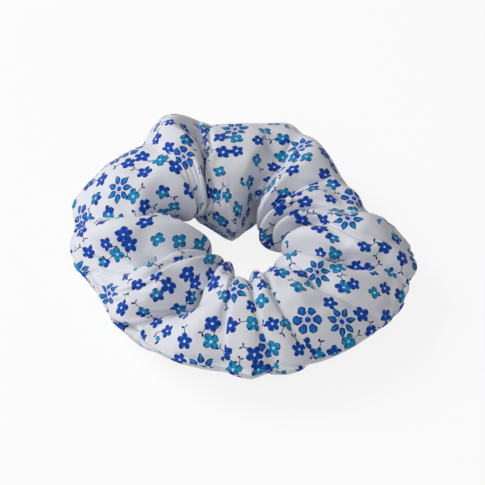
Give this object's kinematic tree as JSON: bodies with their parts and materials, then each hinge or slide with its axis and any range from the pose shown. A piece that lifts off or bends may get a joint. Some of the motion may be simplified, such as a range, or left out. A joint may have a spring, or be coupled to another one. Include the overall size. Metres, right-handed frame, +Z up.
{
  "type": "scrunchie",
  "caption": "Gathered cloth hair tie: a flower-print sleeve bunched on a hidden loop of stretch band, which opens to pass over hair and springs back.",
  "frame": {"origin": "middle of the tie's footprint, on the surface that it lies on", "axes": "+Z up out of the ring's plane, -Y towards the sleeve's closing seam, +X along the direction in which the right half is pulled"},
  "size_m": [0.114, 0.114, 0.0365],
  "materials": {
    "cloth": "smooth printed cotton",
    "band": "woven elastic",
    "thread": "sewing thread"
  },
  "bodies": {
    "left_half": {"cover_left": "cloth", "stretch_band": "band", "band_stitches": "thread", "long_seam_left": "thread", "closing_seam": "thread"},
    "right_half": {"cover_right": "cloth", "long_seam_right": "thread"}
  },
  "joints": [
    {"name": "stretch", "type": "slide", "parent": "left_half", "child": "right_half", "axis": [1, 0, 0], "range_m": [0, 0.06], "stiffness_N_per_m": 100, "deforming": ["stretch_band"]}
  ]
}
